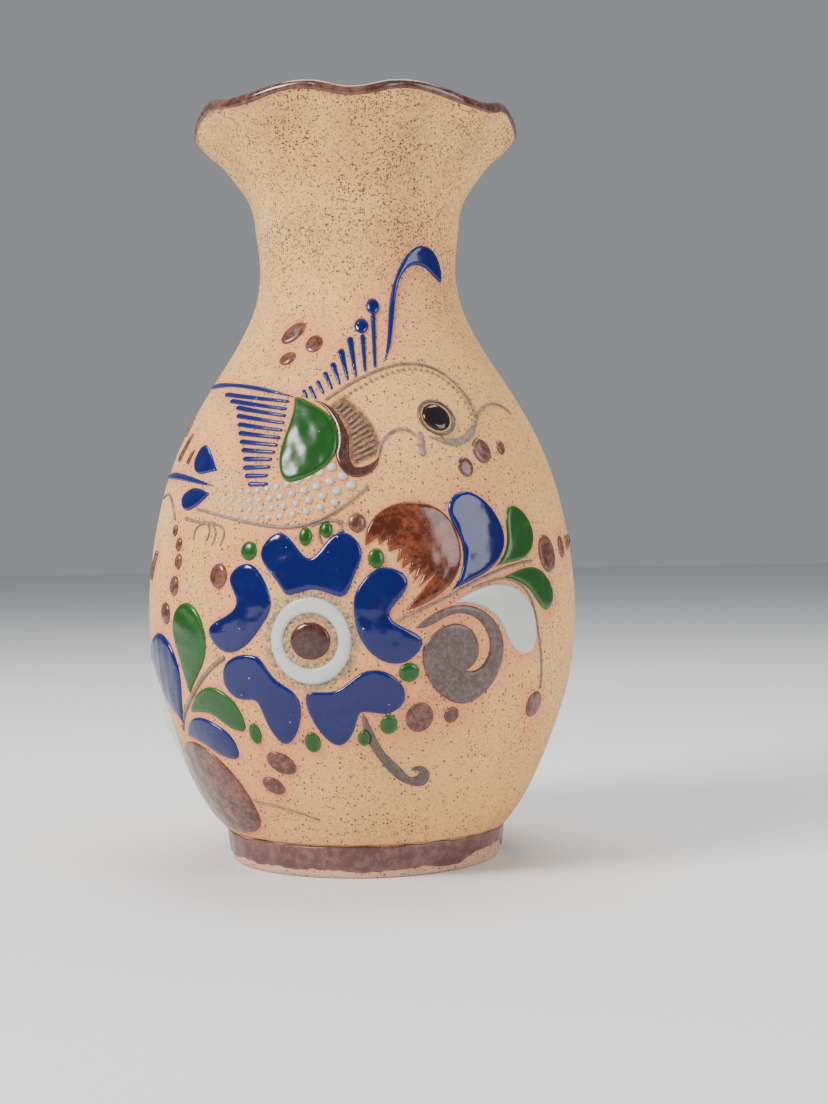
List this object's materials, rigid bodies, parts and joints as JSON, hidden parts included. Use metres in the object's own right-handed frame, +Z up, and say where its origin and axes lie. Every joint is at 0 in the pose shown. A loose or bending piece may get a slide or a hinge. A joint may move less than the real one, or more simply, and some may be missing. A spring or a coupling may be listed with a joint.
{
  "type": "flared vase",
  "caption": "Flared clay vase with a ruffled mouth, a swelling belly on a foot ring, and raised enamel bird and flower decoration.",
  "frame": {"origin": "on the ground at the centre of the foot ring", "axes": "+Z up the vase's axis; -Y is the decorated front, +X is to the right seen from the front"},
  "size_m": [0.1378, 0.1397, 0.24],
  "materials": {
    "clay": "unglazed speckled sandstone clay, dry and matte",
    "raw_clay": "bare clay foot, dry and matte",
    "glaze_brown": "mottled translucent brown glaze, glossy",
    "slip_line": "grey-brown trailed slip, half matte",
    "enamel_blue": "thick cobalt blue enamel, glossy",
    "enamel_green": "thick green enamel, glossy",
    "enamel_white": "thick greyish white enamel, glossy",
    "enamel_black": "dark brown-black enamel, glossy"
  },
  "bodies": {
    "root": {"back_centre": "glaze_brown", "back_feathers": "enamel_blue", "back_leaves": "enamel_green", "back_petals": "enamel_blue", "back_ring": "enamel_white", "back_stem": "slip_line", "bead_chain": "glaze_brown", "beak": "slip_line", "beak_drops": "slip_line", "belly_drops": "glaze_brown", "belly_line": "slip_line", "bird_legs": "slip_line", "breast_drops": "glaze_brown", "breast_pearls": "enamel_white", "chain_stem": "slip_line", "clay_body": "clay", "crest_balls": "enamel_blue", "crest_feathers": "enamel_blue", "crest_plume": "enamel_blue", "crown_drops": "glaze_brown", "eye_pupil": "enamel_black", "eye_ring": "slip_line", "fan_bud": "glaze_brown", "flower_centre": "glaze_brown", "flower_drops": "enamel_green", "flower_ring": "enamel_white", "fluted_mouth": "clay", "foot_glaze": "glaze_brown", "foot_ring": "raw_clay", "ground_line": "slip_line", "head_dots": "slip_line", "head_outline": "slip_line", "hooked_stem": "slip_line", "left_blue_leaves": "enamel_blue", "left_brown_leaf": "glaze_brown", "left_green_leaves": "enamel_green", "left_stem": "slip_line", "left_white_leaf": "enamel_white", "neck_band": "glaze_brown", "neck_stripes": "slip_line", "petal_left": "enamel_blue", "petal_lower_left": "enamel_blue", "petal_lower_right": "enamel_blue", "petal_right": "enamel_blue", "petal_top": "enamel_blue", "right_beads": "glaze_brown", "right_berry": "glaze_brown", "right_blue_leaf": "enamel_blue", "right_green_leaves": "enamel_green", "right_stem_lower": "slip_line", "right_stem_upper": "slip_line", "right_white_leaf": "enamel_white", "rim_glaze": "glaze_brown", "scroll": "slip_line", "tail_leaves": "enamel_blue", "tail_line_lower": "enamel_blue", "tail_line_upper": "enamel_blue", "tail_marks": "glaze_brown", "throat_lines": "slip_line", "wing": "enamel_green"}
  },
  "joints": []
}
